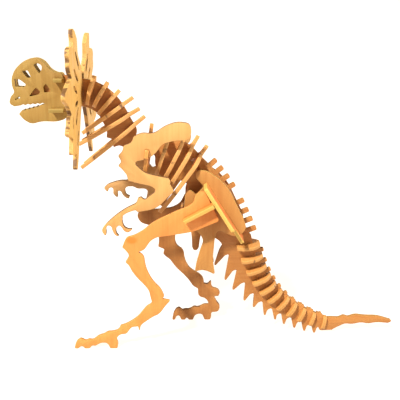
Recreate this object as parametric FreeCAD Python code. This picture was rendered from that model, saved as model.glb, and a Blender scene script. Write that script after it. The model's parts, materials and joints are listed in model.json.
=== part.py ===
"""Slot-together plywood dinosaur skeleton: flat plates that cross each other at half-lap slots.

Units are millimetres. The dinosaur looks along -X, its left side is -Y, and it stands on Z = 0.
Every plate is written down in (x, z) of the standing model, or, for a cross-plate, in (u, y),
where u runs along the plate's centreline as seen from the side.
"""
import FreeCAD
import Part
import math
import os

Vector = FreeCAD.Vector

# ---------------------------------------------------------------- driving dimensions
PLY = 3.0                  # thickness of every plate
PLAY = 0.1                 # gap on each face of a slot
SLOT = PLY + 2 * PLAY      # width of every slot
HEAD_Y = PLY + PLAY        # middle planes of the paired plates, out from the backbone
PELVIS_Y = 12.0
LEG_Y = 24.0
ARM_Y = 20.0
SOFT = 60.0                # corner radius that means "as round as the outline allows"
LEFT = -1
RIGHT = 1

# Cross-plates as seen from the side: start, end and reach to each side
REAR_HIP_PLATE = ((4, 143), (35, 93))
FRONT_HIP_PLATE = ((-13, 116), (10.6, 128.9))
SHOULDER_PLATE = ((-38, 192), (-44, 151))
FRONT_HIP_REACH = 32.0
REAR_HIP_REACH = 30.0
SHOULDER_REACH = 24.0

# Ribs: name, point on the backbone's upper edge, slope below level, crown, reach, half width
NECK_RIBS = (
    ("neck_rib_1", (-83.0, 222.5), 75, 4, 19, 11),
    ("neck_rib_2", (-74.0, 218.0), 60, 4, 18, 12),
    ("neck_rib_3", (-66.5, 211.5), 47, 5, 20, 12),
    ("neck_rib_4", (-61.0, 204.0), 34, 10, 39, 13),
    ("neck_rib_5", (-56.5, 196.0), 29.5, 10, 46, 14),
    ("neck_rib_6", (-52.5, 188.0), 38, 11, 55, 14),
)
CHEST_RIBS = (
    ("chest_rib_1", (-25.2, 177.8), 71, 8, 31, 16),
    ("chest_rib_2", (-14.0, 174.8), 63, 8, 35, 17),
    ("chest_rib_3", (-6.5, 170.5), 59, 10, 42, 18),
    ("chest_rib_4", (0.0, 163.0), 54, 10, 57, 18),
)
RIB_LAP = 7.0              # depth of the backbone's slot under a rib

# Tail: smooth lines given by their two ends and the point that their ends aim at
TAIL_MIDDLE = ((40, 90), (54, 24), (116, 9))
TAIL_TOP = ((43, 97), (49, 44), (112, 17))
HIP_TOP = ((6, 157), (26, 136), (40, 98))
TAIL_DISCS = 11
DISC_FIRST_T = 0.04        # place of the first disc along the middle line, 0 to 1
DISC_STEP_T = 0.0915
DISC_FIRST_LEAN = 5        # degrees above level
DISC_STEP_LEAN = 7.5
DISC_HEIGHTS = (20.0, 12.0)
DISC_HALF_WIDTHS = (11.0, 4.5)
TAIL_SPIKES = (            # tip of each spike and the notch behind it
    ((13, 66.5), (23.5, 77)), ((22, 52.5), (30.5, 62.5)), ((29, 43), (38, 50.5)), ((39, 32.5), (46, 40)),
    ((47.5, 26), (53.5, 32)), ((57.5, 18), (62, 25)), ((67, 13.5), (70.5, 20)), ((75, 9), (79.5, 16)),
    ((84.5, 5), (89, 12)), ((93.5, 2), (98, 9)), ((102.5, 0), (107, 7)),
)


# ---------------------------------------------------------------- geometry helpers
def unit(a, b):
    """Unit direction and length from point a to point b."""
    length = math.hypot(b[0] - a[0], b[1] - a[1])
    return ((b[0] - a[0]) / length, (b[1] - a[1]) / length), length


def curve(ends, t):
    """Point at t, from 0 to 1, on the smooth line (start, aim, end)."""
    weights = ((1 - t) ** 2, 2 * t * (1 - t), t * t)
    return tuple(sum(w * p[axis] for w, p in zip(weights, ends)) for axis in (0, 1))


def curve_normal(ends, t):
    """Direction to the left of travel at t on the smooth line (start, aim, end)."""
    first, aim, last = ends
    dx = (1 - t) * (aim[0] - first[0]) + t * (last[0] - aim[0])
    dz = (1 - t) * (aim[1] - first[1]) + t * (last[1] - aim[1])
    length = math.hypot(dx, dz)
    return (-dz / length, dx / length)


def polar(centre, radius, degrees):
    """Point at a radius and an angle about a centre."""
    angle = math.radians(degrees)
    return (centre[0] + radius * math.cos(angle), centre[1] + radius * math.sin(angle))


def outline_wire(points, place, radius):
    """Closed wire of straight edges whose corners are arcs.

    A point is (a, b) or (a, b, corner radius). An arc takes at most 0.47 of the shorter
    edge beside it, so a large radius gives the roundest outline that the points allow.
    """
    count = len(points)
    ends = []
    for i in range(count):
        here = points[i]
        (ax, az), before = unit(points[i - 1], here)
        (bx, bz), after = unit(here, points[(i + 1) % count])
        turn = math.acos(max(-1.0, min(1.0, ax * bx + az * bz)))
        wanted = here[2] if len(here) > 2 else radius
        if turn < math.radians(1.0) or wanted <= 0:
            ends.append((here[:2], None, here[:2]))
            continue
        cut = min(wanted * math.tan(turn / 2), 0.47 * before, 0.47 * after)
        arc = cut / math.tan(turn / 2)
        start = (here[0] - ax * cut, here[1] - az * cut)
        finish = (here[0] + bx * cut, here[1] + bz * cut)
        (mx, mz), _ = unit(here[:2], ((start[0] + finish[0]) / 2, (start[1] + finish[1]) / 2))
        inward = arc / math.cos(turn / 2) - arc
        ends.append((start, (here[0] + mx * inward, here[1] + mz * inward), finish))
    edges = []
    for i in range(count):
        start, middle, finish = ends[i]
        if middle:
            edges.append(Part.Arc(place(*start), place(*middle), place(*finish)).toShape())
        edges.append(Part.makeLine(place(*finish), place(*ends[(i + 1) % count][0])))
    return Part.Wire(edges)


def side_plate(points, y=0.0, radius=SOFT, holes=()):
    """Plate that stands lengthwise, drawn in (x, z), with its middle plane at y."""
    def place(x, z):
        return Vector(x, y - PLY / 2, z)
    solid = Part.Face(outline_wire(points, place, radius)).extrude(Vector(0, PLY, 0))
    for hole in holes:
        solid = solid.cut(Part.Face(outline_wire(hole, place, radius)).extrude(Vector(0, PLY, 0)))
    return solid


def cross_plate(points, start, direction, radius=SOFT):
    """Plate across the model, drawn in (u, y): u runs from start along direction (x, z)."""
    normal = Vector(-direction[1], 0, direction[0])

    def place(u, y):
        along = Vector(start[0] + direction[0] * u, y, start[1] + direction[1] * u)
        return along - normal * (PLY / 2)
    return Part.Face(outline_wire(points, place, radius)).extrude(normal * PLY)


def slot_in_side(start, direction, u_from, u_to, y_reach=80.0):
    """Cutter for a slot in a lengthwise plate, along a cross-plate's centreline."""
    normal = Vector(-direction[1], 0, direction[0])
    along = Vector(direction[0], 0, direction[1])
    corner = Vector(start[0], -y_reach, start[1]) + along * u_from - normal * (SLOT / 2)
    across = Vector(0, 2 * y_reach, 0)
    face = Part.Face(Part.makePolygon([
        corner, corner + along * (u_to - u_from),
        corner + along * (u_to - u_from) + across, corner + across, corner]))
    return face.extrude(normal * SLOT)


def slot_in_cross(start, direction, u_from, u_to, y):
    """Cutter for a slot in a cross-plate where the lengthwise plate at y passes."""
    normal = Vector(-direction[1], 0, direction[0])
    along = Vector(direction[0], 0, direction[1])
    corner = Vector(start[0], y - SLOT / 2, start[1]) + along * u_from - normal * (2 * PLY)
    across = Vector(0, SLOT, 0)
    face = Part.Face(Part.makePolygon([
        corner, corner + along * (u_to - u_from),
        corner + along * (u_to - u_from) + across, corner + across, corner]))
    return face.extrude(normal * (4 * PLY))


def mirrored(points):
    """Half outline (u, y) from its first to its last point, closed by its mirror image."""
    return list(points) + [(p[0], -p[1]) + tuple(p[2:]) for p in reversed(points)]


def fused(first, others):
    """One solid from plates of the same piece that overlap."""
    return first.fuse(list(others)).removeSplitter()


# ---------------------------------------------------------------- cross-plates and their lines
def line_of(ends):
    """Start, direction and length of a cross-plate's centreline."""
    direction, length = unit(ends[0], ends[1])
    return ends[0], direction, length


REAR_START, REAR_DIR, REAR_LENGTH = line_of(REAR_HIP_PLATE)
FRONT_START, FRONT_DIR, FRONT_LENGTH = line_of(FRONT_HIP_PLATE)
SHOULDER_START, SHOULDER_DIR, SHOULDER_LENGTH = line_of(SHOULDER_PLATE)
SHOULDER_LAP = 21.0        # where the shoulder plate's slot begins, down from its top
SHOULDER_TAB = (20.0, 27.0)
SHOULDER_OPEN = 32.0       # the arm's slot runs on down to here, into the bend of the arm


def rear_hip_plate():
    """Long plate behind the hips: wide above, narrower below."""
    wide = REAR_HIP_REACH
    narrow = 19.0
    half = [(0, wide, 2), (42, wide, 2), (44, narrow, 1), (REAR_LENGTH, narrow, 2)]
    plate = cross_plate(mirrored(half), REAR_START, REAR_DIR)
    middle = REAR_LENGTH / 2
    plate = plate.cut(slot_in_cross(REAR_START, REAR_DIR, middle, REAR_LENGTH + 5, 0))
    for side in (LEFT, RIGHT):
        plate = plate.cut(slot_in_cross(REAR_START, REAR_DIR, -5, middle, side * PELVIS_Y))
    return plate


def front_hip_plate():
    """Plate through both thighs; a shoulder on each side stops the leg."""
    stop = LEG_Y - PLY / 2 - PLAY
    half = [(-3, stop, 1), (0, stop, 0), (0, FRONT_HIP_REACH, 1), (FRONT_LENGTH, FRONT_HIP_REACH, 1)]
    plate = cross_plate(mirrored(half), FRONT_START, FRONT_DIR)
    middle = FRONT_LENGTH / 2
    for y in (-PELVIS_Y, 0, PELVIS_Y):
        plate = plate.cut(slot_in_cross(FRONT_START, FRONT_DIR, middle, FRONT_LENGTH + 5, y))
    return plate


def shoulder_plate():
    """Plate across the shoulders, with a spine above and a tab for each arm."""
    stop = ARM_Y - PLY / 2 - PLAY
    tab_top, tab_bottom = SHOULDER_TAB
    half = [
        (3, 1.5, 1.2), (13, 2.4, 3), (15, 11), (16.5, stop, 1.5), (tab_top, stop, 0),
        (tab_top, SHOULDER_REACH, 1), (tab_bottom, SHOULDER_REACH, 1), (tab_bottom, stop, 0),
        (32, stop, 3), (SHOULDER_LENGTH, 15, 3), (SHOULDER_LENGTH, 8, 3), (31, 5, 3)]
    plate = cross_plate(mirrored(half), SHOULDER_START, SHOULDER_DIR)
    return plate.cut(slot_in_cross(SHOULDER_START, SHOULDER_DIR, SHOULDER_LAP, SHOULDER_LENGTH, 0))


# ---------------------------------------------------------------- ribs
def rib_direction(slope):
    """Side-view direction of a rib, forwards and down."""
    return (-math.cos(math.radians(slope)), -math.sin(math.radians(slope)))


def rib(start, slope, crown, reach, half_width):
    """Arched rib that drops over the backbone; u = 0 is the backbone's upper edge."""
    w = half_width
    half = [
        (-crown, 1.5, 1.2), (-2, 3, 3), (1, 0.6 * w), (6, w), (0.55 * reach, w), (0.85 * reach, 0.8 * w),
        (reach, 0.52 * w, 0.8), (reach - 1.5, 0.52 * w - 2, 0.8), (0.85 * reach, 0.8 * w - 3.8),
        ((RIB_LAP + reach) / 2, w - 4), (RIB_LAP + 3, w - 5, 3), (RIB_LAP + 0.5, 3, 1)]
    arch = cross_plate(mirrored(half), start, rib_direction(slope))
    return arch.cut(slot_in_cross(start, rib_direction(slope), RIB_LAP, reach + 5, 0))


# ---------------------------------------------------------------- tail discs
def taper(pair, i):
    """Value for disc i between the first and the last."""
    return pair[0] + (pair[1] - pair[0]) * i / (TAIL_DISCS - 1)


def disc_line(i):
    """Centre and upward direction of tail disc i, seen from the side."""
    centre = curve(TAIL_MIDDLE, DISC_FIRST_T + DISC_STEP_T * i)
    lean = math.radians(DISC_FIRST_LEAN + DISC_STEP_LEAN * i)
    return centre, (math.cos(lean), math.sin(lean))


def tail_disc(i):
    """Rounded disc with a slot from below that crosses the tail."""
    centre, up = disc_line(i)
    h = taper(DISC_HEIGHTS, i) / 2
    w = taper(DISC_HALF_WIDTHS, i)
    half = [(-h, 0.75 * w, 2), (-0.6 * h, w), (0.45 * h, w), (h, 0.45 * w, 2)]
    disc = cross_plate(mirrored(half), centre, up)
    return disc.cut(slot_in_cross(centre, up, -h - 5, 0, 0))


def between_discs(i):
    """Point and upward direction midway between disc i and the next, near the tail's upper edge."""
    points = []
    for k in (i, i + 1):
        centre, up = disc_line(k)
        rise = taper(DISC_HEIGHTS, k) / 2 - 5
        points.append((centre[0] + up[0] * rise, centre[1] + up[1] * rise))
    lean = DISC_FIRST_LEAN + DISC_STEP_LEAN * (i + 0.5)
    middle = tuple((points[0][axis] + points[1][axis]) / 2 for axis in (0, 1))
    return middle, polar((0, 0), 1, lean)


# ---------------------------------------------------------------- backbone
NECK_AND_BODY = (
    (-136, 211), (-132, 220), (-124, 225), (-108, 228), (-97, 225), (-84, 223), (-74, 218.5),
    (-66, 211.5), (-60, 203), (-55, 193), (-50, 184), (-52, 178), (-46, 176.5), (-38, 177),
    (-28, 178), (-16, 176), (-7, 171), (0, 163), (6, 157), (18, 144), (28, 128), (35, 112), (40, 98),
    (45, 88), (32, 72), (23, 77), (17, 89), (10, 93), (6, 98), (3, 103), (0, 92), (-1, 83), (-2.6, 80.5),
    (-5.1, 80.2), (-6.8, 83), (-7, 94), (-9, 104), (-14, 108), (-15, 118), (-12, 126), (-10, 139),
    (-14, 142), (-24, 143), (-33, 146), (-37, 156), (-36, 165), (-45, 166), (-54, 165), (-64.4, 172),
    (-70, 169.8, 0.8), (-69.2, 176.5), (-74.9, 178, 0.8), (-74, 184), (-77, 190), (-81, 198), (-87, 201.5),
    (-95, 204), (-101, 196), (-113, 196), (-114, 206), (-126, 208),
)
TAIL_TIP = (
    (100, 14), (116, 15.5), (124, 15), (128, 17.5), (132, 15.5), (138, 18), (148, 16.5), (158, 16.5),
    (166, 14), (172, 12), (169, 9.5), (158, 10.5), (150, 9), (144, 10.5), (136, 8.5), (130, 9.5),
    (122, 5.5), (118, 2.8, 1.5), (107.5, 2.5, 1.5), (105.5, 6.5), (102, 8),
)
HIP_TEETH_T = (0.05, 0.18, 0.31, 0.44, 0.66, 0.78, 0.89, 1.0)
HIP_TEETH_LENGTHS = (7, 8)      # first and last


def tooth(root, out, length, width):
    """Spine with a round end that stands out from its root point."""
    along = (out[1], -out[0])
    corners = []
    for distance, side in ((-3, -1), (length, -1), (length, 1), (-3, 1)):
        x = root[0] + out[0] * distance + along[0] * side * width / 2
        z = root[1] + out[1] * distance + along[1] * side * width / 2
        corners.append((x, z, 1.2 if distance > 0 else 0))
    return side_plate(corners)


def tail_plate():
    """Tail from the hips to the last disc: smooth above, a row of spikes below."""
    upper = [curve(TAIL_TOP, k / 12) for k in range(13)]
    lower = []
    for tip, notch in reversed(TAIL_SPIKES):
        lower.append((notch[0] + 1.6, notch[1], 1.5))
        lower.append((notch[0] - 2.2, notch[1] - 1.6, 3))
        lower.append((tip[0] + 0.7, tip[1], 0.5))
        lower.append((tip[0] - 0.7, tip[1], 0.5))
    lower.append((19, 89))
    return side_plate(upper + lower)


def backbone():
    """Head tongue, neck, body, hips and tail in one plate, with every slot cut."""
    shortest, longest = HIP_TEETH_LENGTHS
    teeth = []
    for t in HIP_TEETH_T:
        length = shortest + (longest - shortest) * t
        teeth.append(tooth(curve(HIP_TOP, t), curve_normal(HIP_TOP, t), length, 4))
    for i in range(TAIL_DISCS - 1):
        teeth.append(tooth(*between_discs(i), 7, 3.4 - 0.1 * i))
    plate = fused(side_plate(NECK_AND_BODY), [tail_plate(), side_plate(TAIL_TIP)] + teeth)
    for _, start, slope, crown, _, _ in NECK_RIBS + CHEST_RIBS:
        plate = plate.cut(slot_in_side(start, rib_direction(slope), -crown - 5, RIB_LAP))
    for i in range(TAIL_DISCS):
        centre, up = disc_line(i)
        plate = plate.cut(slot_in_side(centre, up, 0, taper(DISC_HEIGHTS, i)))
    plate = plate.cut(slot_in_side(SHOULDER_START, SHOULDER_DIR, -5, SHOULDER_LAP))
    plate = plate.cut(slot_in_side(REAR_START, REAR_DIR, -20, REAR_LENGTH / 2))
    plate = plate.cut(slot_in_side(FRONT_START, FRONT_DIR, -10, FRONT_LENGTH / 2))
    plate = plate.cut(head_bar_slots())
    return plate.cut(Part.makeCompound([frill_opening(LEFT), frill_opening(RIGHT)]))


# ---------------------------------------------------------------- head
UPPER_BAR = ((-112, 223.5), 7.0, 11.0)     # start, length along x, reach to each side
LOWER_BAR = ((-116.5, 201), 12.0, 14.0)
LOWER_BAR_LAP = 8.0
HEAD = (
    (-145, 203.2, 1), (-149, 205.5), (-147, 211.2), (-143.7, 214), (-145.3, 218.5), (-145.3, 225),
    (-141.7, 231.8), (-135, 237.6), (-127, 240.6), (-120.5, 238.2), (-115.7, 231.3), (-110.7, 228.8),
    (-106.5, 229), (-105.2, 223), (-105.8, 216), (-108.5, 210), (-107, 205), (-104, 201.5, 1), (-103.5, 197),
    (-106, 193.3), (-112.7, 191.2), (-124.8, 191.6), (-132.9, 189.2), (-138.9, 193), (-142, 197.3, 1),
)
HEAD_HOLES = (
    ((-127.7, 235, 1), (-124.5, 236.3), (-121, 234.5), (-121.3, 231.5), (-123.6, 228.2, 0.6)),
    ((-137.3, 230.6, 1), (-132, 230.6, 1), (-130, 225.3, 1), (-133, 225, 1)),
    ((-143, 224.5, 1), (-139, 224), (-134.3, 220), (-136, 218.2, 1), (-142.8, 218.4, 1)),
    ((-133.4, 210.6, 0.6), (-127, 218, 1.5), (-123.7, 214.3, 1), (-125.6, 212.3, 1)),
    ((-121.3, 218.2, 1), (-119, 220.8, 1), (-115.4, 214.4, 1), (-120.9, 213.8, 1)),
    ((-144.1, 209, 0.8), (-140.2, 211.3, 0.8), (-140, 209.8, 0.8), (-143.7, 207.9, 0.8)),
)
MOUTH_CORNER = (-120.5, 205.2)
JAW_TEETH = 5


def toothed_edge(start, end, count, height):
    """Points of a row of small teeth from start to end, on the left of travel."""
    direction, length = unit(start, end)
    step = length / count
    points = []
    for k in range(count):
        root = (start[0] + direction[0] * step * k, start[1] + direction[1] * step * k)
        tip_x = root[0] + direction[0] * step * 0.5 - direction[1] * height
        tip_z = root[1] + direction[1] * step * 0.5 + direction[0] * height
        points.append((root[0], root[1], 0.4))
        points.append((tip_x, tip_z, 0.3))
    return points


def head_plate(side):
    """Skull, crest and open jaw in one plate, with the eye and crest holes."""
    lower_jaw = toothed_edge((-140.6, 199), (-123.5, 203.4), JAW_TEETH, 1.1)
    upper_jaw = toothed_edge((-123, 206), (-142, 204.6), JAW_TEETH, 0.8)
    points = list(HEAD) + lower_jaw + [MOUTH_CORNER + (0.8,)] + upper_jaw
    plate = side_plate(points, side * HEAD_Y, holes=HEAD_HOLES)
    return plate.cut(head_bar_slots())


def head_bar_slots():
    """Openings for the two bars that carry the head plates."""
    slots = []
    for start, length, _ in (UPPER_BAR, LOWER_BAR):
        slots.append(slot_in_side(start, (1, 0), -PLAY, length + PLAY, HEAD_Y + PLY))
    return Part.makeCompound(slots)


def upper_head_bar():
    """Short bar through the backbone and both head plates."""
    start, length, reach = UPPER_BAR
    return cross_plate(mirrored([(0, reach, 0.6), (length, reach, 0.6)]), start, (1, 0))


def lower_head_bar():
    """Wide bar behind the mouth; it stands out on both sides of the head."""
    start, length, reach = LOWER_BAR
    return cross_plate(mirrored([(0, reach, 1), (length, reach, 1)]), start, (1, 0))


# ---------------------------------------------------------------- frill
FRILL_MIDDLE = 214.0                       # height of the tabs
FRILL_TAB = 10.0                           # length of each tab
FRILL_PLACES = {                           # start and upward direction of each half, seen from the side
    LEFT: ((-93.0, FRILL_MIDDLE), (0.0, 1.0)),
    RIGHT: ((-93.0, FRILL_MIDDLE - 3.0), (math.sin(math.radians(3)), math.cos(math.radians(3)))),
}
FRILL = (                                  # from the middle plane outwards, above and below the tab
    (1.7, 19, 1), (12, 29, 8), (11.5, 40, 2), (18, 46), (24.5, 47.5, 2), (26.5, 43), (25.5, 39),
    (28, 34, 0.8), (34, 35.5), (41, 33.5, 2), (43.5, 30), (42, 26), (44, 22), (42, 17.5), (37, 13.5, 1),
    (47, 11), (55, 7.5), (62, 5), (63, 0.5), (55, -3, 1), (50, -7), (46, -11, 0.8), (52, -13),
    (54, -18), (60, -23, 1.5), (54, -26), (46.5, -27.5, 0.8), (48.5, -34), (51, -39.5, 1.5), (44, -40.5),
    (37, -41, 0.8), (39, -46), (42, -51.5), (38.5, -53.5, 1.5), (33, -47), (27, -37), (20, -26), (14, -16),
    (8, -8.5), (1.7, -6, 0.5),
)
FRILL_SLITS = (            # two ends and the width half-way
    ((22, 33), (8, 14.5), 4), ((30.5, 20.5), (14, 6.5), 4.4), ((35, 8), (20, 0), 3.6),
    ((33, -7), (20, -4.5), 3.4), ((35, -22), (20, -7), 3.4), ((34, -38), (24, -24), 3),
    ((40, -12), (43, -24), 2.2),
)


def frill_slit(start, finish, width):
    """Points of a leaf-shaped slit from start to finish, widest in the middle."""
    (dy, du), length = unit(start, finish)
    points = []
    for t, side in ((0, 0), (0.25, -1), (0.6, -1), (1, 0), (0.6, 1), (0.25, 1)):
        y = start[0] + dy * length * t - du * side * width / 2
        u = start[1] + du * length * t + dy * side * width / 2
        points.append((y, u))
    return points


def frill_half(side):
    """Half of the frill: a scalloped fan with leaf-shaped slits and a tab into the backbone."""
    start, direction = FRILL_PLACES[side]

    def plate(points):
        return cross_plate([(p[1], side * p[0]) + tuple(p[2:]) for p in points], start, direction)
    fan = plate(FRILL)
    for slit in FRILL_SLITS:
        fan = fan.cut(plate(frill_slit(*slit)))
    half = FRILL_TAB / 2
    tab = plate([(PLAY, half, 0), (3, half, 0), (3, -half, 0), (PLAY, -half, 0)])
    return fused(fan, [tab])


def frill_opening(side):
    """Opening in the backbone for the tab of one half."""
    start, direction = FRILL_PLACES[side]
    half = FRILL_TAB / 2 + PLAY
    return slot_in_side(start, direction, -half, half)


# ---------------------------------------------------------------- arms
LEFT_UPPER_ARM = (
    (-51, 182.5, 3), (-45, 185.5), (-35.5, 184.5), (-27.5, 190.5), (-17.5, 194), (-8, 192.5), (-6.5, 186.5),
    (-8, 179.5), (-20.5, 179), (-29.5, 176.5), (-34.5, 169), (-41.5, 164.5), (-52, 162.5), (-47, 157),
    (-42.5, 153.5), (-30.5, 150.5), (-24.5, 149.5), (-23, 146), (-26, 140.5), (-28.5, 136.5), (-36.5, 137.5),
    (-35, 140), (-38.5, 143), (-45.5, 144.5), (-57, 147.5), (-57, 151.5), (-61, 157), (-64, 159.5, 1),
    (-61, 162.5), (-63.5, 167.5, 1), (-60, 171), (-59, 175.5, 2), (-53, 177.5),
)
LEFT_HAND = (
    (-24.5, 147), (-37.5, 147), (-35, 138.5), (-39.5, 135.5), (-44, 131.5), (-46.8, 134.2, 0.8),
    (-49.4, 133.2, 0.8), (-50.6, 129), (-59, 125), (-67, 119.5), (-75.5, 112), (-80, 106),
    (-76.5, 101, 0.7), (-75.5, 104), (-76, 108), (-74, 110.5), (-71.5, 109.5), (-70.5, 105),
    (-68.5, 101.5), (-65, 100.5, 0.7), (-67.5, 103.5), (-68, 106), (-67.5, 108.5), (-65, 110.5),
    (-63, 108.5), (-61.5, 105.5), (-59, 104), (-56.5, 105), (-54, 107.8, 0.5), (-57.5, 107),
    (-60.5, 108.5), (-62, 111), (-62.5, 115), (-62, 118.5), (-59, 120.5), (-54, 122.5), (-51.5, 123, 1),
    (-50, 121.5, 1), (-41, 123), (-36, 124.5), (-32, 127), (-25, 134.5), (-20.5, 138.5, 2),
)
RIGHT_UPPER_ARM = (
    (-52, 171), (-46, 174.5), (-36, 174), (-27, 178), (-17, 181), (-8, 179.5), (-7, 174), (-9, 169),
    (-20, 168), (-29, 166), (-36, 163), (-41, 161), (-49, 159), (-44, 153), (-40, 147.5), (-35.5, 149),
    (-30, 152), (-22, 149), (-23, 140), (-38, 138), (-56, 145), (-60, 157, 1.5), (-57, 162), (-60, 165, 1.5),
)
RIGHT_HAND = (
    (-22, 148), (-39.5, 150), (-49, 141), (-62, 137), (-68.5, 137), (-74, 135.5), (-79.5, 133.5),
    (-82.5, 130.5), (-82, 129), (-79.5, 126.5, 0.7), (-79, 128.5), (-77.5, 130.5), (-75, 130.5),
    (-74.5, 128), (-75, 125.5), (-73, 122.5), (-71, 121.5, 0.7), (-71, 124.5), (-71, 127.5), (-68, 127.5),
    (-67, 124.5), (-64.5, 121.5), (-61.5, 120.5, 0.7), (-60.5, 123, 0.7), (-63.5, 124), (-64.5, 127),
    (-64.5, 129.5), (-62.5, 131.5), (-57, 131.5), (-54, 129.5), (-47.5, 129.5), (-45, 128), (-45.5, 124.5),
    (-47, 119.5), (-44.5, 116), (-37.5, 119.5), (-32.5, 128.5), (-25.5, 139), (-19.5, 145, 2),
)


def arm(side):
    """Shoulder blade, upper arm, forearm and hand in one plate, in a different pose on each side."""
    upper, hand = (LEFT_UPPER_ARM, LEFT_HAND) if side == LEFT else (RIGHT_UPPER_ARM, RIGHT_HAND)
    y = side * ARM_Y
    plate = fused(side_plate(upper, y), [side_plate(hand, y)])
    return plate.cut(slot_in_side(SHOULDER_START, SHOULDER_DIR, SHOULDER_TAB[0] - PLAY, SHOULDER_OPEN))


# ---------------------------------------------------------------- pelvis and legs
PELVIS = (
    (-2, 154), (6, 153), (16, 146), (24, 137), (30, 124), (36, 112), (38, 105), (35, 100), (29, 97),
    (22, 100), (14, 104), (12, 95.5), (11.5, 88), (10.4, 77.5), (12.5, 63, 1),
)
LEFT_PADDLE = ((7, 66), (2, 67.5), (-4.5, 66, 1), (-3, 74), (0, 85.5), (3, 94))
RIGHT_PADDLE = ((7, 66), (4, 66.5), (1, 66, 1), (3, 74), (5.5, 85.5), (6, 94))
PELVIS_FRONT = (
    (-1, 101), (-9, 108), (-14, 113), (-13, 122), (-12.4, 129), (-12.3, 133.5), (-10.6, 136.8),
    (-8.1, 137.4), (-5.7, 136), (-3.3, 133.3, 1), (-0.9, 135.8), (3, 140), (0, 144), (-4, 148),
)
LEFT_LEG = (
    (3.8, 139.2, 2), (0, 140), (-4, 136), (-5, 130.5), (-9, 127.5), (-20, 123), (-38, 114), (-46, 107),
    (-53, 103), (-59, 101.5),
    (-61, 98), (-63, 93, 1), (-60, 90), (-57.8, 86.5), (-58.5, 83.5), (-61, 80, 1), (-58, 77), (-56, 72),
    (-51.5, 65.5), (-46, 59.5), (-42.3, 54.3), (-41.3, 48), (-40, 42.5), (-44.6, 40), (-47.5, 36.5),
    (-52, 30.5), (-57, 26.5), (-63, 23), (-67.3, 21.7, 1), (-69.3, 17.6), (-74.2, 16), (-78.4, 16),
    (-81.6, 13.6), (-86.5, 12.2), (-90, 9), (-92.4, 8), (-94.6, 8.8), (-97.8, 7.2), (-100, 8.8),
    (-102, 9.5), (-105, 7.5), (-106.5, 4.5), (-107.5, 0, 1), (-104.5, 0, 1), (-101, 3), (-98.5, 0, 1),
    (-95, 0, 1), (-92, 3), (-89.5, 2.5), (-85, 5.5), (-79, 5.5), (-77, 0, 1), (-71, 0, 1), (-70, 4.5),
    (-71.5, 9.4), (-68.3, 13.5), (-62.3, 14), (-60, 18), (-57.8, 20.4), (-52.5, 21, 0.5),
    (-51.5, 16, 0.4), (-50.4, 21, 0.5), (-49.3, 23), (-45, 26.4), (-39.3, 30.4), (-35, 32.4),
    (-32.6, 35), (-29.5, 39.8), (-25, 45, 0.5), (-31.5, 46.4, 0.8), (-30, 49.3, 0.8), (-32.8, 56.2),
    (-37.4, 60.8), (-40.8, 66), (-43.6, 72.4), (-45, 78), (-45.5, 84), (-47.3, 87), (-50.5, 88.4, 0.5),
    (-45.3, 90.7), (-43, 94), (-40, 98.5), (-35, 101.5), (-18, 104), (-6, 106), (3, 110), (15.2, 115.2, 2),
)
RIGHT_LEG = (
    (4.6, 138.5, 2), (-1, 139.5), (-6, 131), (-13, 124), (-17, 115), (-24, 111), (-38, 109), (-50, 110),
    (-56, 105), (-53, 97), (-43, 94), (-37, 87), (-36.5, 80), (-37.5, 74, 1), (-32, 71.5, 1), (-33, 67.3, 1),
    (-31, 64.6), (-27, 61.7), (-22, 54), (-15.5, 47.5), (-9.5, 40.5), (-6.4, 35), (-1.8, 32.3, 1),
    (-1.5, 26), (0.8, 23.6), (3.8, 23), (6.4, 21), (8.7, 16, 1), (3.8, 16), (0.8, 14.2), (-2.4, 13),
    (-5.5, 14), (-8, 12), (-11.2, 10.8), (-13.8, 11.4), (-16, 10), (-19, 13), (-21.8, 12), (-24.4, 8),
    (-26, 0, 1), (-23.5, 0, 1), (-21.8, 4), (-19.2, 4.6), (-17.3, 0, 1), (-14, 0, 1), (-12.3, 2.8),
    (-10.3, 0, 1), (-6.5, 0, 1), (-4.5, 5), (-0.8, 6.3), (2.3, 5.8), (4.3, 0, 1.5), (9.6, 0, 1.5),
    (10.8, 3.5), (10.6, 8), (14.8, 8), (17.4, 9), (18.6, 12.5), (18.3, 15.5), (15.2, 19.5), (13, 24.3, 1),
    (17.2, 24.6, 1), (18.8, 28), (17.2, 31), (15, 32.2), (12, 33, 1), (10.6, 35.2), (10.4, 40.4, 0.5),
    (6.9, 36.6), (3.8, 37.5, 1), (3.6, 41), (2.2, 44.4), (-0.8, 47.2), (-6, 50.5), (-9.5, 53.3),
    (-12.5, 58.3), (-14, 63.8), (-14.6, 70.8), (-20.5, 75), (-22.3, 80), (-21.5, 88), (-26, 97),
    (-18, 103), (-4, 105), (8, 108), (18.8, 113.8, 2),
)


def pelvis(side):
    """Hip blade behind the rear hip plate and the paddle in front of it, in one plate."""
    paddle = LEFT_PADDLE if side == LEFT else RIGHT_PADDLE
    plate = side_plate(PELVIS + paddle + PELVIS_FRONT, side * PELVIS_Y)
    plate = plate.cut(slot_in_side(REAR_START, REAR_DIR, REAR_LENGTH / 2, REAR_LENGTH + 10))
    return plate.cut(slot_in_side(FRONT_START, FRONT_DIR, -10, FRONT_LENGTH / 2))


def leg(side):
    """Thigh, shin and foot in one plate, pushed on to the end of the front hip plate."""
    points = LEFT_LEG if side == LEFT else RIGHT_LEG
    plate = side_plate(points, side * LEG_Y)
    return plate.cut(slot_in_side(FRONT_START, FRONT_DIR, -PLAY, FRONT_LENGTH + 5))


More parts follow.
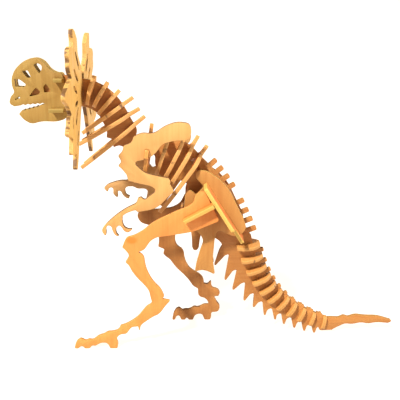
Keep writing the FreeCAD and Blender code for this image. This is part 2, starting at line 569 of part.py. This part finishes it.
# ---------------------------------------------------------------- the whole model
def all_pieces():
    """Every piece by name, in the design frame."""
    pieces = {
        "backbone": backbone(),
        "upper_head_bar": upper_head_bar(),
        "lower_head_bar": lower_head_bar().cut(
            slot_in_cross(LOWER_BAR[0], (1, 0), LOWER_BAR_LAP, LOWER_BAR[1] + 5, 0)),
        "shoulder_plate": shoulder_plate(),
        "front_hip_plate": front_hip_plate(),
        "rear_hip_plate": rear_hip_plate(),
    }
    for name, side in (("left", LEFT), ("right", RIGHT)):
        pieces["head_" + name] = head_plate(side)
        pieces["frill_" + name] = frill_half(side)
        pieces["arm_" + name] = arm(side)
        pieces["pelvis_" + name] = pelvis(side)
        pieces["leg_" + name] = leg(side)
    for name, start, slope, crown, reach, half_width in NECK_RIBS + CHEST_RIBS:
        pieces[name] = rib(start, slope, crown, reach, half_width)
    for i in range(TAIL_DISCS):
        pieces["tail_disc_%02d" % (i + 1)] = tail_disc(i)
    return pieces


def main():
    """Build, centre the model over the origin and write one file per piece."""
    os.makedirs("parts", exist_ok=True)
    pieces = all_pieces()
    box = Part.makeCompound(list(pieces.values())).BoundBox
    shift = Vector(-(box.XMin + box.XMax) / 2, -(box.YMin + box.YMax) / 2, -box.ZMin)
    for name, shape in pieces.items():
        shape.translate(shift)
        shape.exportStep("parts/%s.step" % name)


main()
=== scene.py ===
"""Plywood dinosaur skeleton: every plate rebuilt with eased edges and layered wood, on a white sheet."""

import json
import math

import bmesh
import bpy
from mathutils import Matrix, Vector

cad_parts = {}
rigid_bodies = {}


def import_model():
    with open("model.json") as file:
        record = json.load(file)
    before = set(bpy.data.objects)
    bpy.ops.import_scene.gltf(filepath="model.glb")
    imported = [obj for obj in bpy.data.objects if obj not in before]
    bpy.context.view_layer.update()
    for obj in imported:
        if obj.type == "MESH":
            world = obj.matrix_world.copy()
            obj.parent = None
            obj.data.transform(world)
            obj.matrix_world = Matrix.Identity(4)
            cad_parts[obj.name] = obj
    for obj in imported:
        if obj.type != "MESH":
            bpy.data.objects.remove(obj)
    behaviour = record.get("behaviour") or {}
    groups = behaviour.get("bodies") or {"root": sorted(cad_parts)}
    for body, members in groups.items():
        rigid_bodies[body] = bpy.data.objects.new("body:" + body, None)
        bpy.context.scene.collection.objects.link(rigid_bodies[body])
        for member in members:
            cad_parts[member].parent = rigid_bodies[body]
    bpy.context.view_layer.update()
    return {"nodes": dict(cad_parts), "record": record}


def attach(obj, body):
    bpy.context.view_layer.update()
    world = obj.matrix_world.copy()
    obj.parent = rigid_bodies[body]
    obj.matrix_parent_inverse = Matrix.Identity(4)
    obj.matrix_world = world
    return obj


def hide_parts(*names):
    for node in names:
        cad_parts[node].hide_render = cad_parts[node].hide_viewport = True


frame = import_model()

# ---------------------------------------------------------------- plates, lengths in metres
PLY = 0.003                 # thickness of every plate
VENEER = 0.0008             # thickness of each face veneer; the core is the rest
EASE = 0.0003               # how far the edges are eased
EASE_STEPS = 2
WELD = 1e-6                 # vertices closer than this are one
FLAT = math.radians(0.5)    # faces that turn less than this are joined
SHARP = math.radians(35)    # edges that turn more than this are eased
LENGTHWISE = 0.5            # a plate whose normal has more Y than this runs along the model
TIE_BREAK = 0.01            # share of Z that gives a sign to a normal with no X
SHIFT_ALONG = 0.037         # step of the wood pattern from plate to plate, along the grain
SHIFT_ACROSS = 0.019        # and across it

# ---------------------------------------------------------------- camera and light
CAMERA_PLACE = (-0.0151, -0.4376, 0.2612)
CAMERA_TILT = 17.3          # degrees below level
CAMERA_TURN = -0.5          # degrees from square-on
LENS = 49.5                 # mm on the default 36 mm sensor
NEAREST = 0.01              # things closer to the camera than this don't show
KEY_TOWARDS = (-0.42, -0.55, 0.72)
KEY_STRENGTH = 6.3
KEY_SPREAD = 6              # degrees across
FILL_TOWARDS = (0.90, -0.08, 0.42)
FILL_STRENGTH = 2.8
FILL_SPREAD = 35
WALL_LIGHT = 1.3
WALL_TOP = 0.08             # sine of the height up to which the wall light is full
CEILING_LIGHT = 0.22
CEILING_FROM = 0.35         # sine of the height from which only the ceiling light is left
WARMTH = (1.0, 0.88, 0.78)  # colour of the light from the walls and the sheet
SHEET_GLOW = 1.08
SHEET_HALF = 3.0
SHEET_ROUGHNESS = 0.9
SHEET_TONES = ((0.16, 0.16, 0.158), (0.18, 0.18, 0.178))

# ---------------------------------------------------------------- wood
# Wood by material slot: light grain, dark grain, how much of a cut edge is burnt (0 to 1) and the
# green and blue of a cut edge as a multiple of the light grain's
TONES = {
    "wood_head": ((0.350, 0.215, 0.048), (0.28, 0.150, 0.028), 0.12, 1.10),
    # The frill's high burnt share puts dark patches along its rim's cut edge: partly burn, partly painted
    # shade on the lower sides of the rim's scallops
    "wood_frill": ((0.64, 0.39, 0.105), (0.56, 0.29, 0.064), 0.62, 0.90),
    "wood_ribs": ((0.62, 0.30, 0.085), (0.54, 0.21, 0.050), 0.30, 1.05),
    "wood_body": ((0.66, 0.26, 0.060), (0.54, 0.18, 0.036), 0.30, 1.15),
    "wood_discs": ((0.54, 0.26, 0.066), (0.45, 0.18, 0.040), 0.25, 1.00),
}
OWN_AND_SHADED_TONES = {               # pieces with a tone of their own, among them all of slot wood_hips; leg_right's darker tone is painted shade
    "arm_left": ((0.58, 0.315, 0.100), (0.53, 0.255, 0.072), 1.00, 1.10),
    "arm_right": ((0.50, 0.29, 0.105), (0.42, 0.21, 0.065), 0.80, 1.10),
    "leg_left": ((0.68, 0.250, 0.055), (0.60, 0.195, 0.038), 0.20, 1.15),
    # the far leg: the near leg's wood made darker, as painted shade for the far side standing in shadow
    "leg_right": ((0.35, 0.145, 0.032), (0.27, 0.095, 0.018), 0.50, 1.10),
    "pelvis_left": ((0.45, 0.215, 0.050), (0.38, 0.155, 0.032), 0.30, 1.20),
    "pelvis_right": ((0.45, 0.17, 0.040), (0.38, 0.115, 0.024), 0.30, 1.20),
    "backbone": ((0.43, 0.185, 0.042), (0.34, 0.120, 0.024), 0.45, 1.10),
    "front_hip_plate": ((0.62, 0.30, 0.060), (0.56, 0.23, 0.040), 0.05, 1.25),
    "rear_hip_plate": ((0.70, 0.235, 0.050), (0.62, 0.170, 0.032), 0.05, 2.00),
}
BURNT = (0.085, 0.032, 0.010)
# Painted shadow of the near hand on the near knee: a reddish patch on the face of leg_left
HAND_SHADOW_TONE = (0.72, 0.145, 0.012)
HAND_SHADOW_NODE = "leg_left"
HAND_SHADOW_CENTRE = (-0.0663, -0.0255, 0.0990)
HAND_SHADOW_RADII = (0.0032, 0.0048, 0.0200)   # along the grain, across it and through the wood
HAND_SHADOW_RAGGED = 0.5           # how far the cloud pattern moves the painted shadow's rim, in radii

# Noise: stretch along the grain, across it and through the wood, scale, detail and, if they aren't
# the usual ones, roughness and distortion
STREAKS = ((0.05, 1, 1), 420, 4, 0.62, 0.25)
FIGURE = ((0.16, 1, 1), 62, 3, 0.55, 1.2)
CLOUD = ((0.6, 1, 1), 17, 2, 0.5)
FLECKS = ((0.10, 1, 1), 1500, 1, 0.4)
PORES = ((1, 1, 0.35), 1800, 2, 0.5)
SCORCH = ((1, 1, 0.4), 105, 3, 0.6)
SPECKLE = ((1, 1, 1), 900, 2)

# Ramps: the input at both ends and, if it isn't 0 and 1, the output there
STREAK_RAMP = (0.30, 0.72, 0.0, 0.55)   # share of the dark grain
FIGURE_RAMP = (0.35, 0.68, 0.0, 0.45)   # share of the dark grain
CLOUD_RAMP = (0.36, 0.66, 0.0, 0.40)    # share of the cloudy tone
FLECK_RAMP = (0.66, 0.78)
PORE_RAMP = (0.35, 0.70)
EDGE_RAMP = (0.70, 0.985, 1.0, 0.0)     # from how squarely a point faces through the wood
HAND_SHADOW_RAMP = (0.8, 1.5, 0.85, 0.0)       # from the distance to the painted shadow's centre, in radii
ROUGHNESS_RAMP = (0.3, 0.7, 0.50, 0.66)

# Layers of the cut edge, in metres from the glue line, and its charred places
LAYER_BLUR = 0.00008        # half the width of the change from veneer to core
GLUE_FULL = 0.00005         # up to here the glue line is at its darkest
GLUE_END = 0.00013          # here it has faded out
CHAR_FROM = 0.72            # scorch noise from which an edge with no burnt share is charred
CHAR_FULL = 0.80            # and at which the charring is full
CHAR_GAIN = 0.4             # how much lower both are at a burnt share of 1
CHAR_SHARES = (0.08, 0.85)  # how much of the burnt tone shows outside and inside those places

# Darker tones, as multiples of the tone they belong to, and how much of a pattern shows
CLOUD_TONE = 0.80
FLECK_TONE = 0.55
FLECK_SHARE = 0.30
CORE_TONE = 0.85
GLUE_TONE = 0.45
GLUE_SHARE = 0.35
PORE_SHARE = 0.25

SPECULAR = 0.30
BUMP_STRENGTH = 0.35
BUMP_HEIGHT = 0.00012       # in metres
STREAK_HEIGHT = 0.7         # share of the bump
PORE_HEIGHT = 0.9           # share of the bump, on cut edges only


class Graph:
    """Short calls for adding and joining nodes."""

    def __init__(self, owner):
        self.tree = owner.node_tree

    def add(self, kind, **properties):
        """New node with some of its properties set."""
        node = self.tree.nodes.new("ShaderNode" + kind)
        for key, value in properties.items():
            setattr(node, key, value)
        return node

    def put(self, socket, value):
        """Join a socket to an output, or give it a plain value."""
        if isinstance(value, bpy.types.NodeSocket):
            self.tree.links.new(value, socket)
        else:
            socket.default_value = value

    def math(self, operation, a, b=0.5, c=0.5):
        """Result of one arithmetic step."""
        node = self.add("Math", operation=operation)
        for socket, value in zip(node.inputs, (a, b, c)):
            self.put(socket, value)
        return node.outputs[0]

    def ramp(self, value, low, high, to_low=0.0, to_high=1.0):
        """Value carried from low..high to to_low..to_high, with smooth ends."""
        node = self.add("MapRange", interpolation_type="SMOOTHSTEP")
        for socket, number in zip(node.inputs, (value, low, high, to_low, to_high)):
            self.put(socket, number)
        return node.outputs[0]

    def mix(self, share, a, b):
        """Colour a turned into colour b by share; a colour is an output or (red, green, blue)."""
        node = self.add("Mix", data_type="RGBA", blend_type="MIX")
        self.put(node.inputs[0], share)
        colours = [socket for socket in node.inputs if socket.type == "RGBA"]
        for socket, colour in zip(colours, (a, b)):
            self.put(socket, colour + (1,) if isinstance(colour, tuple) else colour)
        return next(socket for socket in node.outputs if socket.type == "RGBA")

    def mapping(self, place, scale, move=(0, 0, 0)):
        """Place scaled along each axis and then moved."""
        node = self.add("Mapping", vector_type="POINT")
        self.put(node.inputs["Vector"], place)
        node.inputs["Scale"].default_value = scale
        node.inputs["Location"].default_value = move
        return node.outputs[0]

    def noise(self, place, stretch, scale, detail=2.0, roughness=0.5, distortion=0.0):
        """Noise from 0 to 1, sampled at place with each axis stretched."""
        node = self.add("TexNoise")
        self.put(node.inputs["Vector"], self.mapping(place, stretch))
        node.inputs["Scale"].default_value = scale
        node.inputs["Detail"].default_value = detail
        node.inputs["Roughness"].default_value = roughness
        node.inputs["Distortion"].default_value = distortion
        return node.outputs[0]


def shade(colour, factor):
    """Colour with each channel multiplied by factor."""
    return tuple(factor * channel for channel in colour)


def veneer(g, place, streaks, light, dark, hand_shadow):
    """Colour of the faces: grain, cloudy darker areas, flecks and perhaps a painted shadow of the hand."""
    figure = g.noise(place, *FIGURE)
    cloud = g.noise(place, *CLOUD)
    flecks = g.ramp(g.noise(place, *FLECKS), *FLECK_RAMP)
    grain = g.math("ADD", g.ramp(streaks, *STREAK_RAMP), g.ramp(figure, *FIGURE_RAMP))
    face = g.mix(grain, light, dark)
    face = g.mix(g.ramp(cloud, *CLOUD_RAMP), face, shade(dark, CLOUD_TONE))
    face = g.mix(g.math("MULTIPLY", flecks, FLECK_SHARE), face, shade(dark, FLECK_TONE))
    # painted shadow of the near hand: a reddish patch mixed into the face colour
    if hand_shadow is not None:
        scale = tuple(1 / radius for radius in HAND_SHADOW_RADII)
        move = tuple(-c / radius for c, radius in zip(hand_shadow, HAND_SHADOW_RADII))
        away = g.add("VectorMath", operation="LENGTH")
        g.put(away.inputs[0], g.mapping(place, scale, move))
        ragged = g.math("MULTIPLY_ADD", cloud, HAND_SHADOW_RAGGED, away.outputs["Value"])
        face = g.mix(g.ramp(ragged, *HAND_SHADOW_RAMP), face, HAND_SHADOW_TONE)
    return face


def cut_edge(g, place, pores, light, dark, burnt, lift):
    """Colour of the cut edges: three layers, glue lines, pores and charred places."""
    depth = g.add("SeparateXYZ")
    g.put(depth.inputs[0], place)
    from_middle = g.math("ABSOLUTE", depth.outputs[2])
    glue_at = PLY / 2 - VENEER
    core = g.ramp(from_middle, glue_at - LAYER_BLUR, glue_at + LAYER_BLUR, 1.0, 0.0)
    from_glue = g.math("ABSOLUTE", g.math("SUBTRACT", from_middle, glue_at))
    glue = g.ramp(from_glue, GLUE_FULL, GLUE_END, 1.0, 0.0)
    gain = CHAR_GAIN * burnt
    # on the frill these charred patches are partly painted shade for the rim's shadowed scallop sides
    char = g.ramp(g.noise(place, *SCORCH), CHAR_FROM - gain, CHAR_FULL - gain, *CHAR_SHARES)

    rim = (light[0], light[1] * lift, light[2] * lift)
    edge = g.mix(core, rim, shade(rim, CORE_TONE))
    edge = g.mix(g.math("MULTIPLY", pores, PORE_SHARE), edge, dark)
    edge = g.mix(g.math("MULTIPLY", glue, GLUE_SHARE), edge, shade(dark, GLUE_TONE))
    return g.mix(char, edge, BURNT)


def wood(name, light, dark, burnt, lift, hand_shadow=None):
    """Plywood: veneer grain along local X on the faces, three layers on the cut edges.

    hand_shadow: centre of a reddish patch, a painted shadow of the near hand, in the plate's own axes, or
    None.
    """
    material = bpy.data.materials.new(name)
    material.use_nodes = True
    g = Graph(material)
    shader = material.node_tree.nodes["Principled BSDF"]
    coords = g.add("TexCoord")
    place = coords.outputs["Object"]
    facing = g.add("SeparateXYZ")
    g.put(facing.inputs[0], coords.outputs["Normal"])
    off_face = g.ramp(g.math("ABSOLUTE", facing.outputs[2]), *EDGE_RAMP)
    streaks = g.noise(place, *STREAKS)
    pores = g.ramp(g.noise(place, *PORES), *PORE_RAMP)

    face = veneer(g, place, streaks, light, dark, hand_shadow)
    edge = cut_edge(g, place, pores, light, dark, burnt, lift)
    g.put(shader.inputs["Base Color"], g.mix(off_face, face, edge))
    g.put(shader.inputs["Roughness"], g.ramp(streaks, *ROUGHNESS_RAMP))
    shader.inputs["Specular IOR Level"].default_value = SPECULAR

    edge_relief = g.math("MULTIPLY", pores, g.math("MULTIPLY", off_face, PORE_HEIGHT))
    relief = g.math("ADD", g.math("MULTIPLY", streaks, STREAK_HEIGHT), edge_relief)
    bump = g.add("Bump")
    bump.inputs["Strength"].default_value = BUMP_STRENGTH
    bump.inputs["Distance"].default_value = BUMP_HEIGHT
    g.put(bump.inputs["Height"], relief)
    g.put(shader.inputs["Normal"], bump.outputs[0])
    return material


# ---------------------------------------------------------------- plates
def broadest_normal(mesh):
    """Direction that the largest area of a mesh faces; a plate's two faces count as one."""
    areas = {}
    for face in mesh.polygons:
        n = face.normal
        heading = n.y if abs(n.y) > LENGTHWISE else n.x + TIE_BREAK * n.z
        sign = 1 if heading > 0 else -1
        key = tuple(round(sign * c, 2) for c in n)
        area, total = areas.get(key, (0.0, Vector()))
        areas[key] = (area + face.area, total + n * sign * face.area)
    return max(areas.values(), key=lambda pair: pair[0])[1].normalized()


def plate(node, number):
    """Copy of a node in its plate's own axes: Z through the wood, X along the grain."""
    source = bpy.data.objects[node]
    normal = broadest_normal(source.data)
    second = Vector((0, 1, 0)) if abs(normal.y) < LENGTHWISE else Vector((0, 0, 1))
    first = second.cross(normal).normalized()
    corners = [vertex.co for vertex in source.data.vertices]
    spans = []
    for axis in (first, second):
        reaches = [axis.dot(corner) for corner in corners]
        spans.append(max(reaches) - min(reaches))
    along = first if spans[0] >= spans[1] else second
    across = normal.cross(along)
    heights = [normal.dot(corner) for corner in corners]
    middle = normal * (max(heights) + min(heights)) / 2
    spot = middle + along * SHIFT_ALONG * number + across * SHIFT_ACROSS * number
    axes = Matrix((along, across, normal)).transposed().to_4x4()
    place = Matrix.Translation(spot) @ axes

    work = bmesh.new()
    work.from_mesh(source.data)
    bmesh.ops.transform(work, matrix=place.inverted(), verts=work.verts)
    bmesh.ops.remove_doubles(work, verts=work.verts, dist=WELD)
    bmesh.ops.dissolve_limit(work, angle_limit=FLAT, verts=work.verts, edges=work.edges)
    for face in work.faces:
        face.smooth = True
    mesh = bpy.data.meshes.new("ply_" + node)
    work.to_mesh(mesh)
    work.free()

    piece = bpy.data.objects.new("ply_" + node, mesh)
    piece.matrix_world = place
    bpy.context.scene.collection.objects.link(piece)
    eased = piece.modifiers.new("ease", "BEVEL")
    eased.width = EASE
    eased.segments = EASE_STEPS
    eased.limit_method = "ANGLE"
    eased.angle_limit = SHARP
    eased.harden_normals = True
    eased.use_clamp_overlap = True
    return piece


def build_plates():
    """Rebuild every node, paint it and hang it on its body."""
    woods = {slot: wood(slot, *tones) for slot, tones in TONES.items()}
    body_of = {node: body for body, nodes in frame["record"]["behaviour"]["bodies"].items() for node in nodes}
    slot_of = {part["node"]: part["material_slot"] for part in frame["record"]["subparts"]}
    for number, node in enumerate(sorted(frame["nodes"])):
        piece = plate(node, number)
        if node in OWN_AND_SHADED_TONES:
            # the painted shadow of the hand goes on leg_left only
            hand_shadow = piece.matrix_world.inverted() @ Vector(HAND_SHADOW_CENTRE) if node == HAND_SHADOW_NODE else None
            paint = wood("ply_" + node, *OWN_AND_SHADED_TONES[node], hand_shadow=hand_shadow)
        else:
            paint = woods[slot_of[node]]
        piece.data.materials.append(paint)
        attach(piece, body_of[node])
        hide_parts(node)


# ---------------------------------------------------------------- camera, light and floor
def camera():
    """Camera square to the model's left side and a little above it."""
    data = bpy.data.cameras.new("camera")
    data.lens = LENS
    data.clip_start = NEAREST
    eye = bpy.data.objects.new("camera", data)
    eye.location = CAMERA_PLACE
    eye.rotation_euler = (math.radians(90 - CAMERA_TILT), 0, math.radians(CAMERA_TURN))
    bpy.context.scene.collection.objects.link(eye)
    bpy.context.scene.camera = eye


def sun(name, towards, strength, spread):
    """White light from far away; towards points from the model to the light."""
    data = bpy.data.lights.new(name, "SUN")
    data.energy = strength
    data.angle = math.radians(spread)
    lamp = bpy.data.objects.new(name, data)
    lamp.location = towards
    lamp.rotation_euler = Vector(towards).to_track_quat("Z", "Y").to_euler()
    bpy.context.scene.collection.objects.link(lamp)


def surroundings():
    """World that is bright near the horizon, like a studio wall, and dimmer overhead."""
    world = bpy.data.worlds.new("world")
    world.use_nodes = True
    g = Graph(world)
    height = g.add("SeparateXYZ")
    g.put(height.inputs[0], g.add("TexCoord").outputs["Generated"])
    strength = g.ramp(height.outputs[2], WALL_TOP, CEILING_FROM, WALL_LIGHT, CEILING_LIGHT)
    background = world.node_tree.nodes["Background"]
    background.inputs["Color"].default_value = WARMTH + (1,)
    g.put(background.inputs["Strength"], strength)
    bpy.context.scene.world = world


def floor():
    """White sheet, lit from below, that the model stands on."""
    paper = bpy.data.materials.new("paper")
    paper.use_nodes = True
    g = Graph(paper)
    shader = paper.node_tree.nodes["Principled BSDF"]
    speckle = g.noise(g.add("TexCoord").outputs["Object"], *SPECKLE)
    g.put(shader.inputs["Base Color"], g.mix(speckle, *SHEET_TONES))
    shader.inputs["Roughness"].default_value = SHEET_ROUGHNESS
    shader.inputs["Emission Color"].default_value = WARMTH + (1,)
    shader.inputs["Emission Strength"].default_value = SHEET_GLOW
    corners = [(x * SHEET_HALF, y * SHEET_HALF, 0) for x, y in ((-1, -1), (1, -1), (1, 1), (-1, 1))]
    mesh = bpy.data.meshes.new("floor")
    mesh.from_pydata(corners, [], [(0, 1, 2, 3)])
    sheet = bpy.data.objects.new("floor", mesh)
    sheet.data.materials.append(paper)
    bpy.context.scene.collection.objects.link(sheet)


def studio():
    """Key light from the upper left front, softer light from the right, bright walls and the sheet."""
    sun("key", KEY_TOWARDS, KEY_STRENGTH, KEY_SPREAD)
    sun("fill", FILL_TOWARDS, FILL_STRENGTH, FILL_SPREAD)
    surroundings()
    floor()
    bpy.context.scene.view_settings.view_transform = "Standard"


camera()
studio()
build_plates()
